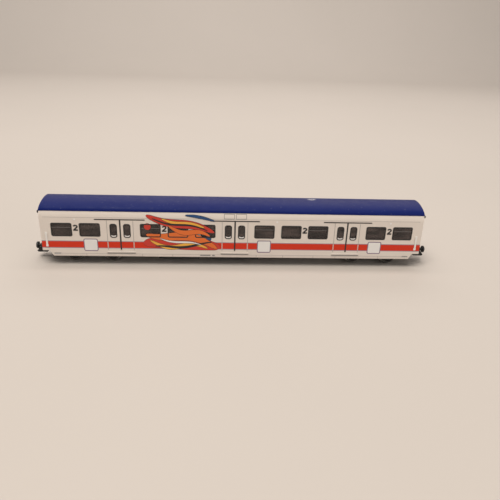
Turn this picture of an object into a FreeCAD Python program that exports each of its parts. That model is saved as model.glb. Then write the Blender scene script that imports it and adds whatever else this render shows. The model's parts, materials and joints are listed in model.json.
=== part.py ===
"""Model railway passenger coach, N gauge (1:160): a suburban coach with three double doors a side.

Frame: +X towards the front end, +Y towards the left side, +Z up. The origin is the middle of the
coach on the surface that the wheel flanges stand on. All sizes are in millimetres.
The coach is a box of two side walls, two end walls and a clip-on roof round a black underframe.
It runs on two bogies that swing on pivot pins, each with two wheelsets and a hooked coupler.
"""
import FreeCAD
import Part
import math
import os

V = FreeCAD.Vector

# ---- driving dimensions -------------------------------------------------------------------
# body shell
body_length = 158.5       # over the end walls
body_width = 17.66        # over the side walls
wall = 0.9                # side wall
end_wall = 1.0
skirt_wall = 0.55         # side wall below the underframe, thinned for the bogies
skirt_bottom = 4.1
skirt_cut = 3.0           # length of the raised skirt at each end
skirt_slope = 1.3         # run of the slope down to the full skirt
lean_gap = 2.33           # from the windows' tops to where the wall starts to curve inwards
gutter_height = 23.6      # top of the side wall
gutter_inset = 0.58       # how far the wall leans in at its top
# roof
roof_top = 27.2
roof_wall = 0.8
roof_overhang = 0.15
roof_rake = 0.21          # the roof's ends lean inwards this much for each mm of height
fit = 0.05                # clearance between curved faces that belong together
past = 1.0                # how far a cutter runs past what it cuts
overlap = 0.2             # how deep the pieces of one moulding run into each other
# doors and windows
end_bay = 32.15           # from the end wall to the outer door's centre
door_width = 10.64
door_bottom = 6.7
door_head = 1.43          # from the windows' tops to the door's
door_groove = 0.2
door_seal = 0.42          # groove between the two leaves
groove_depth = 0.15
door_window_width = 2.85
door_window_height = 5.95
door_window_offset = 2.75
window_width = 8.34
window_height = 5.72
window_bottom = 12.85
window_least_pitch = 10.5
window_door_gap = 6.98    # from a door's edge to the nearest window's centre
window_end_gap = 8.49     # from the end wall to the last window's centre
window_radius = 0.75
door_window_drop = 0.15   # the door windows' tops lie this far below the others'
door_window_radius = 1.05
step_overhang = 0.48      # beyond the door's edges
step_height = 0.4
step_reach = 0.35
step_top = 6.3
handrail_inset = 2.2      # from the end wall to the handrail
handrail_bottom = 8.3
handrail_top = 14.6
handrail_width = 0.7
handrail_foot = 0.91
handrail_reach = 0.3
# glazing
glass = 0.5
glass_recess = 0.12       # how far the panes lie behind the wall's outer face
glass_margin = 0.7
# gangway
doorway_width = 5.6
doorway_top = 20.2
gangway_leaf = 0.5
gangway_recess = 0.3
gangway_window_width = 3.0
gangway_window_height = 5.0
gangway_window_bottom = 13.4
bellows_radius = 0.85
bellows_reach = 1.5
bellows_gap = 0.7         # from the end wall's lower edge to the bellows
# buffers and tail lamps
buffer_spacing = 10.94
buffer_gap = 0.05         # from the end wall's lower edge to the buffers' cases
buffer_length = 3.25
buffer_head_radius = 1.45
buffer_head = 0.8
buffer_head_chamfer = 0.2
buffer_case_radius = 0.9
buffer_case = 1.5
buffer_stem_radius = 0.6
lamp_width = 0.8
lamp_height = 1.0
lamp_reach = 0.6
# underframe, ballast and interior
wheel_headroom = 0.3      # between the flanges and the floor
floor_plate = 1.0
sill_width = 1.2
sill_height = 1.3
sill_spacing = 11.0
sill_gap = 1.8            # from the inner wheels' flanges
ballast = 0.9
ballast_margin = 1.63     # from the side wall
ballast_gap = 3.0         # from a pivot to the end of the ballast plate
tray = 0.6
tray_gap = 0.2
aisle_width = 2.4
bench_depth = 2.7
bench_height = 1.9
bench_back = 5.0
bench_back_wall = 0.6
bench_knee_gap = 3.6
partition = 0.5
partition_gap = 0.9       # from a door's edge to its partition
partition_height = 9.0
# equipment below the floor
equipment_bottom = 2.2
battery_length = 21.0
battery_width = 4.2
converter_length = 17.0
equipment_inset = 1.98    # from the skirt's inner face
reservoir_length = 15.0
reservoir_radius = 1.55
reservoir_spacing = 7.2
equipment_gap = 4.5
hanger = 0.8
hanger_offset = 7.35
strap_width = 1.55
reservoir_corner = 0.775
# running gear
track_gauge_back = 7.4    # between the wheels' backs
wheel_width = 1.9
tread_radius = 2.95
flange_depth = 0.9
flange_width = 0.55
flange_corner = 0.15
flange_slope = 0.2
tread_taper = 0.05
rim_depth = 0.65
hub_radius = 1.2
web_recess = 0.42         # how far the wheel's web lies behind its face
axle_radius = 0.75
journal_radius = 0.5
journal_length = 0.5
running_gap = 0.05
pivot_overhang = 19.875   # from the end wall to the bogie's pivot
wheelbase = 15.6
frame_gap = 0.15          # between a wheel and the bogie's side frame
side_frame = 0.6
side_frame_overhang = 1.3
side_frame_chamfer = 0.6  # so that the bogie swings clear of the skirt
axlebox_width = 2.4
axlebox_height = 2.7
side_beam_height = 1.2
beam_step = 0.4           # how much deeper the beam is beside its axle boxes
beam_slope = 1.0
frame_corner = 0.5
spring_seat = 0.4         # from the axle boxes' lower edge up to the beam's dip
bolster_gap = 0.75        # between a flange and the bolster
bolster = 1.5
bolster_rise = 0.65       # above the axles' centres
pivot_radius = 1.0
pivot_head_radius = 1.7
pivot_head = 0.55
# coupler
arm_width = 3.2
arm = 1.2
arm_gap = 0.3             # between the axle and the arm above it
arm_headroom = 0.4        # between the arm and the end wall above it
box_gap = 2.55            # between the outer flange and the pocket
box_length = 4.6
box_width = 4.4
box_wall = 0.55
cover = 0.5
shank_width = 2.6
shank = 1.3
trunnion_radius = 0.35
trunnion_inset = 1.5
coupler_lift = 6.0        # degrees that the shank rises before it meets the pocket's roof
coupler_bottom = 2.7
coupler_top = 4.9
lip = 0.2
coupler_width = 3.4
coupler_head = 4.8
coupler_corner = 0.5
coupler_post = 1.0        # the head's rear post
coupler_floor = 0.88      # the head's floor, between post and hook
hook_nose = 0.4
hook_lead = 1.3           # slope of the hook's front
hook_top = 1.0
hook_undercut = 0.2
head_gap = 1.2            # from the pocket's mouth to the head

# ---- derived places -----------------------------------------------------------------------
half_length = body_length / 2
half_width = body_width / 2
inner_width = half_width - wall
equipment_edge = half_width - skirt_wall - equipment_inset
gutter_width = half_width - gutter_inset
axle_height = tread_radius + flange_depth
floor_bottom = 2 * axle_height + wheel_headroom
floor_top = floor_bottom + floor_plate
ballast_top = floor_top + ballast
tray_top = ballast_top + tray
roof_rise = roof_top - gutter_height
roof_width = gutter_width + roof_overhang
pivot_x = half_length - pivot_overhang
wheel_inner = track_gauge_back / 2
wheel_outer = wheel_inner + wheel_width
frame_inner = wheel_outer + frame_gap
frame_outer = frame_inner + side_frame
bolster_bottom = axle_height + bolster_rise
bolster_length = wheelbase - 2 * axle_height - 2 * bolster_gap
arm_bottom = axle_height + axle_radius + arm_gap
end_bottom = arm_bottom + arm + arm_headroom
buffer_height = end_bottom + buffer_gap + buffer_case_radius
bellows_bottom = end_bottom + bellows_gap
box_start = wheelbase / 2 + axle_height + box_gap
coupler_reach = box_start + box_length + head_gap + coupler_head
window_top = window_bottom + window_height
door_top = window_top + door_head
door_window_bottom = window_top - door_window_drop - door_window_height
lean_start = window_top + lean_gap
lean_rise = gutter_height - lean_start
lean_radius = (lean_rise ** 2 + gutter_inset ** 2) / (2 * gutter_inset)
lean_centre = half_width - lean_radius
outer_door = half_length - end_bay
trunnion_x = box_start + trunnion_inset
trunnion_z = coupler_bottom + cover + lip + running_gap + shank / 2


# ---- drawing helpers ----------------------------------------------------------------------
def block(x0, x1, y0, y1, z0, z1):
    return Part.makeBox(x1 - x0, y1 - y0, z1 - z0, V(x0, y0, z0))


def rod(centre, axis, radius, length):
    """A cylinder that starts at centre and runs along axis."""
    return Part.makeCylinder(radius, length, V(*centre), V(*axis))


def polygon(points):
    corners = [V(a, b, 0) for a, b in points]
    return Part.Face(Part.makePolygon(corners + corners[:1]))


def rounded(x0, x1, y0, y1, radius):
    """A flat rectangle with rounded corners."""
    plate = Part.makeBox(x1 - x0, y1 - y0, 1, V(x0, y0, 0))
    upright = [e for e in plate.Edges if abs(e.tangentAt(e.FirstParameter).z) > 0.5]
    solid = plate.makeFillet(radius, upright)
    return [f for f in solid.Faces if f.normalAt(0, 0).z < -0.5][0]


def along_x(face, x0, x1):
    """Extrudes a face drawn in (y, z) from x0 to x1."""
    solid = face.extrude(V(0, 0, x1 - x0))
    solid.Placement = FreeCAD.Placement(V(x0, 0, 0), FreeCAD.Rotation(V(1, 1, 1), 120))
    return solid


def along_y(face, y0, y1):
    """Extrudes a face drawn in (x, z) from y0 to y1."""
    solid = face.extrude(V(0, 0, y1 - y0))
    solid.Placement = FreeCAD.Placement(V(0, y1, 0), FreeCAD.Rotation(V(1, 0, 0), 90))
    return solid


def joined(solids):
    """One solid from several that touch or overlap."""
    return solids[0].multiFuse(solids[1:]).removeSplitter() if len(solids) > 1 else solids[0]


def cut_all(solid, tools):
    return solid.cut(Part.makeCompound(tools)) if tools else solid


def mirror_x(shape):
    return shape.mirror(V(0, 0, 0), V(1, 0, 0))


def mirror_y(shape):
    return shape.mirror(V(0, 0, 0), V(0, 1, 0))


def both_sides(shape):
    return [shape, mirror_y(shape)]


def solid_of(shape):
    """The largest solid of a boolean's result, which may come wrapped in a compound."""
    return max(shape.Solids, key=lambda s: s.Volume)


# ---- where doors and windows go -----------------------------------------------------------
def door_centres():
    return [-outer_door, 0.0, outer_door]


def spread(first, last):
    """Window centres from first to last, evenly spaced, as many as the least pitch allows."""
    spaces = int((last - first) / window_least_pitch)
    if spaces < 1:
        return [(first + last) / 2]
    return [first + (last - first) * i / spaces for i in range(spaces + 1)]


def window_centres():
    clear = door_width / 2 + window_door_gap
    front = spread(clear, outer_door - clear) + spread(outer_door + clear, half_length - window_end_gap)
    return sorted([-x for x in front] + front)


def door_window_centres():
    return [c + s * door_window_offset for c in door_centres() for s in (-1, 1)]


# ---- body shell ---------------------------------------------------------------------------
def lean_arc(radius):
    """The wall's inward curve at the given radius, from its foot to the gutter."""
    reach = math.asin(lean_rise / radius)
    at = [V(lean_centre + radius * math.cos(a), lean_start + radius * math.sin(a), 0)
          for a in (0, reach / 2, reach)]
    return Part.Arc(*at).toShape(), at[0], at[2]


def wall_section():
    """The left wall's cross-section, drawn in (y, z)."""
    outer, outer_foot, outer_top = lean_arc(lean_radius)
    inner, inner_foot, inner_top = lean_arc(lean_radius - wall)
    corners = [inner_foot, V(inner_width, floor_bottom, 0),
               V(half_width - skirt_wall, floor_bottom, 0),
               V(half_width - skirt_wall, skirt_bottom, 0), V(half_width, skirt_bottom, 0), outer_foot]
    edges = [Part.makeLine(a, b) for a, b in zip(corners, corners[1:])]
    edges += [outer, Part.makeLine(outer_top, inner_top), inner]
    return Part.Face(Part.Wire(Part.__sortEdges__(edges)))


def opening(centre, width, bottom, height, radius):
    """A window's cutter through the left wall."""
    outline = rounded(centre - width / 2, centre + width / 2, bottom, bottom + height, radius)
    return along_y(outline, inner_width - past, half_width + past)


def window_cutters(shrink=0.0):
    """Cutters for every window of the left side, smaller all round by shrink."""
    cutters = [opening(x, window_width - 2 * shrink, window_bottom + shrink, window_height - 2 * shrink,
                       window_radius - shrink) for x in window_centres()]
    cutters += [opening(x, door_window_width - 2 * shrink, door_window_bottom + shrink,
                        door_window_height - 2 * shrink, door_window_radius - shrink)
                for x in door_window_centres()]
    return cutters


def door_grooves():
    """The lines round each door leaf, cut into the left wall's face."""
    grooves = []
    for c in door_centres():
        for offset, width in ((-door_width / 2, door_groove), (0, door_seal), (door_width / 2, door_groove)):
            grooves.append(block(c + offset - width / 2, c + offset + width / 2,
                                 half_width - groove_depth, half_width + past, door_bottom, door_top))
    return grooves


def skirt_end_cutter():
    """Clears the skirt beside the buffers at the front end, and goes as far below it again."""
    x = half_length - skirt_cut
    end = half_length + past
    low = 2 * skirt_bottom - end_bottom
    outline = polygon([(x, end_bottom), (end, end_bottom), (end, low), (x - 2 * skirt_slope, low)])
    return along_y(outline, 0, half_width + past)


def side_wall():
    shell = along_x(wall_section(), -half_length, half_length)
    end_cut = skirt_end_cutter()
    shell = cut_all(shell, window_cutters() + door_grooves() + [end_cut, mirror_x(end_cut)])
    reach = door_width / 2 + step_overhang
    steps = [block(c - reach, c + reach, half_width, half_width + step_reach,
                   step_top - step_height, step_top) for c in door_centres()]
    return solid_of(joined([solid_of(shell)] + steps))


def handrails():
    """The upright grab rails beside the left wall's ends, on two feet each."""
    x = half_length - handrail_inset
    foot = handrail_foot
    bar = block(x - handrail_width / 2, x + handrail_width / 2, half_width + handrail_reach / 2,
                half_width + handrail_reach, handrail_bottom, handrail_top)
    feet = [block(x - foot / 2, x + foot / 2, half_width, half_width + handrail_reach, z, z + foot)
            for z in (handrail_bottom, handrail_top - foot)]
    rail = joined([bar] + feet)
    return [rail, mirror_x(rail)]


def end_section():
    """The end wall's outline in (y, z): between the side walls, and under the roof."""
    arc, foot, top = lean_arc(lean_radius - wall - fit)
    rise = V(roof_width - roof_wall - fit, roof_rise - roof_wall - fit, 0)
    crown = Part.Ellipse(V(0, gutter_height, 0), rise.x, rise.y).toShape(0, math.pi)
    half = [Part.makeLine(V(0, end_bottom, 0), V(inner_width, end_bottom, 0)),
            Part.makeLine(V(inner_width, end_bottom, 0), V(inner_width, lean_start, 0)),
            Part.makeLine(V(inner_width, lean_start, 0), foot), arc,
            Part.makeLine(top, V(rise.x, gutter_height, 0))]
    edges = half + [e.mirror(V(0, 0, 0), V(1, 0, 0)) for e in half] + [crown]
    return Part.Face(Part.Wire(Part.__sortEdges__(edges)))


def raked(solid, foot_x):
    """Trims what lies beyond the raked plane that starts at foot_x on the gutter line."""
    high = roof_rise + past
    outline = polygon([(0, 0), (foot_x, 0), (foot_x, gutter_height),
                       (foot_x - roof_rake * high, gutter_height + high), (0, gutter_height + high)])
    return solid.common(along_y(outline, -body_width, body_width))


def end_wall_front():
    plate = along_x(end_section(), half_length - end_wall, half_length)
    plate = plate.cut(block(half_length - 2 * end_wall, half_length + past, -doorway_width / 2,
                            doorway_width / 2, floor_top, doorway_top))
    return solid_of(raked(plate, half_length))


def roof():
    outer = Part.Ellipse(V(0, gutter_height, 0), roof_width, roof_rise)
    inner = Part.Ellipse(V(0, gutter_height, 0), roof_width - roof_wall, roof_rise - roof_wall)
    edges = [outer.toShape(0, math.pi), inner.toShape(0, math.pi)]
    for side in (-1, 1):
        edges.append(Part.makeLine(V(side * roof_width, gutter_height, 0),
                                   V(side * (roof_width - roof_wall), gutter_height, 0)))
    shell = along_x(Part.Face(Part.Wire(Part.__sortEdges__(edges))), 0, half_length + roof_overhang)
    front = solid_of(raked(shell, half_length + roof_overhang))
    return joined([front, mirror_x(front)])


# ---- glazing and gangways -----------------------------------------------------------------
def glazing():
    """One clear strip behind the left wall, with a raised pane in each window."""
    low = min(door_window_bottom, window_bottom) - glass_margin
    high = window_top + glass_margin
    reach = max(window_centres()) + window_width / 2 + glass_margin
    strip = block(-reach, reach, inner_width - glass, inner_width, low, high)
    face = half_width - glass_recess
    slab = block(-reach, reach, inner_width - glass / 2, face, low, high)
    panes = [slab.common(c) for c in window_cutters(fit)]
    return solid_of(joined([strip] + panes))


def gangway_window(width, height, bottom, radius):
    outline = rounded(-width / 2, width / 2, bottom, bottom + height, radius)
    return along_x(outline, half_length - 2 * end_wall, half_length + past)


def gangway_door():
    leaf = block(half_length - gangway_recess - gangway_leaf, half_length - gangway_recess,
                 -doorway_width / 2, doorway_width / 2, floor_top, doorway_top)
    return solid_of(leaf.cut(gangway_window(gangway_window_width, gangway_window_height,
                                            gangway_window_bottom, window_radius)))


def gangway_glass():
    leaf_back = half_length - gangway_recess - gangway_leaf
    width, height = gangway_window_width - 2 * fit, gangway_window_height - 2 * fit
    plug = gangway_window(width, height, gangway_window_bottom + fit, window_radius - fit)
    plug = plug.common(block(leaf_back - glass, half_length - gangway_recess - glass_recess,
                             -width, width, floor_top, doorway_top))
    back = block(leaf_back - glass, leaf_back, -width / 2 - glass_margin, width / 2 + glass_margin,
                 gangway_window_bottom - glass_margin,
                 gangway_window_bottom + gangway_window_height + glass_margin)
    return joined([solid_of(plug), back])


def bellows():
    """The rubber gangway seal: two upright rolls and one across their tops, flat at the wall."""
    side = doorway_width / 2 + bellows_radius
    top = doorway_top + bellows_radius
    axis_x = half_length + bellows_reach - bellows_radius
    rolls = [rod((axis_x, s * side, bellows_bottom), (0, 0, 1), bellows_radius, top - bellows_bottom)
             for s in (-1, 1)]
    rolls.append(rod((axis_x, -side, top), (0, 1, 0), bellows_radius, 2 * side))
    rolls += [Part.makeSphere(bellows_radius, V(axis_x, s * side, top)) for s in (-1, 1)]
    webs = [block(half_length, axis_x, s * side - bellows_radius, s * side + bellows_radius,
                  bellows_bottom, top) for s in (-1, 1)]
    webs.append(block(half_length, axis_x, -side, side, top - bellows_radius, top + bellows_radius))
    whole = joined(rolls + webs)
    front = block(half_length, half_length + bellows_reach + past, -half_width, half_width, 0, roof_top)
    return solid_of(whole.common(front))


def buffer_pair():
    stem_start = half_length + buffer_case
    head_start = half_length + buffer_length - buffer_head
    pair = []
    for side in (-1, 1):
        y = side * buffer_spacing / 2
        head = rod((head_start, y, buffer_height), (1, 0, 0), buffer_head_radius, buffer_head)
        rim = [e for e in head.Edges if abs(e.CenterOfMass.x - head_start - buffer_head) < 1e-6]
        head = head.makeChamfer(buffer_head_chamfer, rim)
        pair.append(joined([
            rod((half_length, y, buffer_height), (1, 0, 0), buffer_case_radius, buffer_case),
            rod((stem_start - overlap, y, buffer_height), (1, 0, 0), buffer_stem_radius,
                head_start - stem_start + 2 * overlap), head]))
    return pair


def tail_lamps():
    """A small lamp case on each top corner of the front end."""
    y = gutter_width - lamp_width
    z = gutter_height - lamp_height
    case = block(half_length, half_length + lamp_reach, y, y + lamp_width, z, gutter_height - fit)
    return both_sides(case)


# ---- underframe and interior --------------------------------------------------------------
def underframe():
    x = half_length - end_wall
    plate = block(-x, x, -inner_width, inner_width, floor_bottom, floor_top)
    reach = pivot_x - wheelbase / 2 - axle_height - sill_gap
    sill_inner = sill_spacing / 2 - sill_width / 2
    sills = both_sides(block(-reach, reach, sill_inner, sill_inner + sill_width,
                             floor_bottom - sill_height, floor_bottom))
    holes = [rod((s * pivot_x, 0, floor_bottom - past), (0, 0, 1), pivot_radius, floor_plate + 2 * past)
             for s in (-1, 1)]
    return solid_of(cut_all(joined([plate] + sills), holes))


def ballast_plate():
    x = pivot_x - ballast_gap
    y = inner_width - ballast_margin
    return block(-x, x, -y, y, floor_top, ballast_top)


def interior_floor():
    x = half_length - end_wall - gangway_leaf - glass
    y = inner_width - glass - tray_gap
    return block(-x, x, -y, y, ballast_top, tray_top)


def benches():
    """Facing benches at each window, left of the aisle."""
    y0, y1 = aisle_width / 2, inner_width - glass - 2 * tray_gap
    seats = []
    for c in window_centres():
        for s in (-1, 1):
            front = bench_knee_gap / 2
            back = front + bench_depth
            outline = polygon([(c + s * a, tray_top + b) for a, b in (
                (front, 0), (back, 0), (back, bench_back), (back - bench_back_wall, bench_back),
                (back - bench_back_wall, bench_height), (front, bench_height))])
            seats.append(along_y(outline, y0, y1))
    return seats


def partitions():
    """The screens beside each door, each side of the aisle."""
    y0, y1 = aisle_width / 2, inner_width - glass - 2 * tray_gap
    offset = door_width / 2 + partition_gap - partition
    screens = []
    for c in door_centres():
        for s in (-1, 1):
            x = c + s * (offset + partition / 2)
            screens += both_sides(block(x - partition / 2, x + partition / 2, y0, y1,
                                        tray_top, tray_top + partition_height))
    return screens


# ---- equipment below the floor ------------------------------------------------------------
def battery_boxes():
    x = battery_length / 2
    y = equipment_edge
    box = block(-x, x, y - battery_width, y, equipment_bottom, floor_bottom - sill_height)
    sill_inner = sill_spacing / 2 - sill_width / 2
    hangers = [block(at - hanger, at + hanger, sill_inner - hanger, sill_inner,
                     floor_bottom - sill_height, floor_bottom) for at in (-hanger_offset, hanger_offset)]
    return both_sides(joined([box] + hangers))


def converter_box():
    x = -battery_length / 2 - equipment_gap
    return block(x - converter_length, x, -equipment_edge, equipment_edge,
                 equipment_bottom, floor_bottom - sill_height)


def air_reservoirs():
    x = battery_length / 2 + equipment_gap
    z = floor_bottom - sill_height - hanger - reservoir_radius
    tanks = []
    for s in (-1, 1):
        y = s * reservoir_spacing / 2
        tank = rod((x, y, z), (1, 0, 0), reservoir_radius, reservoir_length)
        tank = tank.makeFillet(reservoir_corner, [e for e in tank.Edges if len(e.Vertexes) == 1])
        straps = [block(at - hanger / 2, at + hanger / 2, y - strap_width / 2, y + strap_width / 2,
                        z, floor_bottom) for at in (x + reservoir_length / 4, x + reservoir_length * 3 / 4)]
        tanks.append(solid_of(joined([tank] + straps)))
    return tanks


# ---- running gear, drawn about a pivot at x = 0, coupler end towards +X ---------------------
def pivot_pin():
    shank = rod((0, 0, bolster_bottom - running_gap), (0, 0, 1), pivot_radius,
                floor_top - bolster_bottom + running_gap)
    head = rod((0, 0, bolster_bottom - running_gap - pivot_head), (0, 0, 1), pivot_head_radius, pivot_head)
    return joined([shank, head])


def side_frame_outline():
    """The side frame in (x, z): a beam that dips in the middle, with an axle box at each end."""
    end = wheelbase / 2 + side_frame_overhang
    top = axle_height + axlebox_height / 2
    low = axle_height - axlebox_height / 2
    box_in = wheelbase / 2 - axlebox_width / 2
    under = top - side_beam_height - beam_step
    dip = bolster_length / 2
    dip_low = low + spring_seat
    right = [(0, dip_low), (dip, dip_low), (box_in - beam_slope, under), (box_in, under),
             (box_in, low), (end, low), (end, top - frame_corner), (end - frame_corner, top)]
    left = [(-x, z) for x, z in reversed(right) if x > 0]
    return polygon(right + left)


def coupler_box():
    """The open-fronted pocket at the end of the arm, and its trunnion holes."""
    x0, x1 = box_start, box_start + box_length
    top = arm_bottom + arm
    base = coupler_bottom + cover
    half = box_width / 2
    rise = math.radians(coupler_lift)
    roof_z = trunnion_z + shank / 2 / math.cos(rise) + (x1 - trunnion_x) * math.tan(rise) + running_gap
    case = block(x0, x1, -half, half, base, top)
    hollow = block(x0 + box_wall, x1 + past, -half + box_wall, half - box_wall, base - past, roof_z)
    bore = rod((trunnion_x, -half - past, trunnion_z), (0, 1, 0), trunnion_radius + running_gap,
               box_width + 2 * past)
    return case.cut(hollow).cut(bore)


def bogie_frame():
    frame = along_y(side_frame_outline(), frame_inner, frame_outer)
    end = wheelbase / 2 + side_frame_overhang
    inset_x, inset_y = end - side_frame_chamfer, frame_outer - side_frame_chamfer
    corner = polygon([(inset_x, frame_outer), (end, inset_y), (end + past, inset_y),
                      (end + past, frame_outer + past), (inset_x, frame_outer + past)])
    corner = corner.extrude(V(0, 0, roof_top))
    frame = solid_of(frame.cut(corner).cut(mirror_x(corner)))
    top = bolster_bottom + bolster
    beam = block(-bolster_length / 2, bolster_length / 2, -frame_outer, frame_outer, bolster_bottom, top)
    boss = rod((0, 0, top), (0, 0, 1), pivot_head_radius, floor_bottom - running_gap - top)
    limb = block(bolster_length / 2 - overlap, box_start + overlap, -arm_width / 2, arm_width / 2,
                 arm_bottom, arm_bottom + arm)
    solid = joined(both_sides(frame) + [beam, boss, limb, coupler_box()])
    bore = rod((0, 0, bolster_bottom - past), (0, 0, 1), pivot_radius + running_gap, floor_bottom)
    journals = []
    for s in (-1, 1):
        journals += both_sides(rod((s * wheelbase / 2, frame_inner - past, axle_height), (0, 1, 0),
                                   journal_radius + running_gap,
                                   past + journal_length + running_gap - frame_gap))
    return solid_of(cut_all(solid, [bore] + journals))


def coupler_cover():
    """The plate that closes the pocket from below, with a lip that the shank rests over."""
    x0, x1 = box_start, box_start + box_length
    half = box_width / 2
    plate = block(x0, x1, -half, half, coupler_bottom, coupler_bottom + cover)
    rest = block(x1 - box_wall, x1, -half + box_wall + fit, half - box_wall - fit, coupler_bottom + cover,
                 coupler_bottom + cover + lip)
    return joined([plate, rest])


def coupler():
    """The hooked coupler: a shank on two trunnions, and a head with an upward catch."""
    shank_low = trunnion_z - shank / 2
    head_x = coupler_reach - coupler_head
    stem = block(trunnion_x - shank / 2, head_x + overlap, -shank_width / 2, shank_width / 2,
                 shank_low, shank_low + shank)
    pin = rod((trunnion_x, -box_width / 2 + running_gap, trunnion_z), (0, 1, 0), trunnion_radius,
              box_width - 2 * running_gap)
    floor = coupler_bottom + coupler_floor
    low = coupler_bottom + coupler_corner
    post = head_x + coupler_post
    nose = coupler_reach
    hook = nose - hook_lead
    outline = polygon([(head_x, low), (head_x + coupler_corner, coupler_bottom),
                       (nose - hook_nose, coupler_bottom), (nose, low),
                       (hook, coupler_top), (hook - hook_top, coupler_top),
                       (hook - hook_top + hook_undercut, floor), (post, floor),
                       (post, coupler_top), (head_x, coupler_top)])
    head = along_y(outline, -coupler_width / 2, coupler_width / 2)
    return joined([stem, pin, head])


def wheel_pair():
    """The two wheels of the wheelset at x = 0, each turned from one outline in (radius, y)."""
    flange = tread_radius + flange_depth
    flange_side = wheel_inner + flange_width
    rim = tread_radius - rim_depth
    web = wheel_outer - web_recess
    outline = polygon([(axle_radius, wheel_inner), (flange - flange_corner, wheel_inner),
                       (flange, wheel_inner + flange_corner), (flange, flange_side - flange_slope),
                       (tread_radius + flange_corner, flange_side),
                       (tread_radius, flange_side + flange_corner), (tread_radius - tread_taper, wheel_outer),
                       (rim, wheel_outer), (rim - flange_corner, web), (hub_radius, web),
                       (hub_radius, wheel_outer), (axle_radius, wheel_outer)])
    wheel = outline.revolve(V(0, 0, 0), V(0, 1, 0), 360)
    wheel.translate(V(0, 0, axle_height))
    return both_sides(wheel)


def axle():
    body = rod((0, -wheel_outer, axle_height), (0, 1, 0), axle_radius, 2 * wheel_outer)
    reach = wheel_outer + journal_length
    journals = rod((0, -reach, axle_height), (0, 1, 0), journal_radius, 2 * reach)
    return joined([body, journals])


# ---- writing ------------------------------------------------------------------------------
def write(name, solids):
    solids = solids if isinstance(solids, list) else [solids]
    shape = solids[0] if len(solids) == 1 else Part.makeCompound(solids)
    bad = [s for s in shape.Solids if not s.isValid() or s.Volume <= 0]
    print(f"{name}: {len(shape.Solids)} solids, {shape.Volume:.1f} mm3" + (" INVALID" if bad else ""))
    shape.exportStep(os.path.join("parts", name + ".step"))


def at_ends(name, build):
    """Writes a front piece and its mirror image at the rear."""
    pieces = build if isinstance(build, list) else [build]
    write(name + "_front", pieces)
    write(name + "_rear", [mirror_x(p) for p in pieces])


def write_body():
    wall_left = side_wall()
    write("side_wall_left", wall_left)
    write("side_wall_right", mirror_y(wall_left))
    rails = handrails()
    write("handrails_left", rails)
    write("handrails_right", [mirror_y(r) for r in rails])
    write("roof", roof())
    panes = glazing()
    write("glazing_left", panes)
    write("glazing_right", mirror_y(panes))
    at_ends("end_wall", end_wall_front())
    at_ends("gangway_door", gangway_door())
    at_ends("gangway_glass", gangway_glass())
    at_ends("gangway_bellows", bellows())
    at_ends("buffers", buffer_pair())
    at_ends("tail_lamps", tail_lamps())


def write_floor():
    write("underframe", underframe())
    write("ballast_plate", ballast_plate())
    write("interior_floor", interior_floor())
    seats = benches()
    write("seats_left", seats)
    write("seats_right", [mirror_y(s) for s in seats])
    write("partitions", partitions())
    write("battery_boxes", battery_boxes())
    write("converter_box", converter_box())
    write("air_reservoirs", air_reservoirs())


def placed(shape, x):
    moved = shape.copy()
    moved.translate(V(x, 0, 0))
    return moved


def write_running_gear():
    at_ends("pivot_pin", placed(pivot_pin(), pivot_x))
    at_ends("bogie_frame", placed(bogie_frame(), pivot_x))
    at_ends("coupler_cover", placed(coupler_cover(), pivot_x))
    at_ends("coupler", placed(coupler(), pivot_x))
    for place, offset in (("outer", wheelbase / 2), ("inner", -wheelbase / 2)):
        at_ends(f"wheels_{place}", [placed(w, pivot_x + offset) for w in wheel_pair()])
        at_ends(f"axle_{place}", placed(axle(), pivot_x + offset))


os.makedirs("parts", exist_ok=True)
write_body()
write_floor()
write_running_gear()
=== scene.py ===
"""Finish, printing and fine detail of the model coach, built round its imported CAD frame."""
import bpy
import bmesh
import json
import math
from collections import defaultdict, namedtuple
from mathutils import Matrix, Vector


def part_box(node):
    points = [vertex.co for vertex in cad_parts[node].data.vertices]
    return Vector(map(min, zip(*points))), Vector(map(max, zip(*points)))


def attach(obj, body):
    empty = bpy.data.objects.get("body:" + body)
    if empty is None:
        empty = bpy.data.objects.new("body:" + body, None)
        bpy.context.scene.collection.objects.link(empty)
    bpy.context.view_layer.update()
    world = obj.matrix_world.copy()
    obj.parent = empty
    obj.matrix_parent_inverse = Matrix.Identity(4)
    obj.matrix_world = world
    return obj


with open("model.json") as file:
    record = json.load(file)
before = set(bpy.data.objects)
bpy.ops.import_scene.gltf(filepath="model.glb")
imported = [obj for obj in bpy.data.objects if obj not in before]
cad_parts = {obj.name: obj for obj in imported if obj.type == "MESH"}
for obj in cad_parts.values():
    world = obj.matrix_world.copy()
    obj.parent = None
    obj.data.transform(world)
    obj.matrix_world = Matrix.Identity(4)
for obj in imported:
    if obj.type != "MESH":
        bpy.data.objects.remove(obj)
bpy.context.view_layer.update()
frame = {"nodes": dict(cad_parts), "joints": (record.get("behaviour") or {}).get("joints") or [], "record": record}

MM = 0.001
nodes = frame["nodes"]
joints = {j["name"]: j for j in frame["joints"]}


# ---- places read from the frame, in metres --------------------------------------------------
wall_low, wall_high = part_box("side_wall_left")
roof_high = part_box("roof")[1]
floor_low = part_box("underframe")[0]
half_length = wall_high.x
step_reach = 0.35 * MM
half_width = wall_high.y - step_reach
skirt_bottom = wall_low.z
gutter = wall_high.z

# sizes of what is printed or moulded on the walls
door_pitch = 47.1 * MM
door_half = 5.32 * MM
door_top = 20.0 * MM
Window = namedtuple("Window", "width height middle radius")
leaf_window = Window(2.85 * MM, 5.95 * MM, 15.445 * MM, 1.05 * MM)
leaf_window_offset = 2.75 * MM
side_window = Window(8.34 * MM, 5.72 * MM, 15.71 * MM, 0.75 * MM)
lean_start = 20.9 * MM
lean_inset = 0.58 * MM
stripe_low = 7.9 * MM
stripe_high = 10.58 * MM
ink_thickness = 0.012 * MM
DOORS = (-door_pitch, 0.0, door_pitch)


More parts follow.
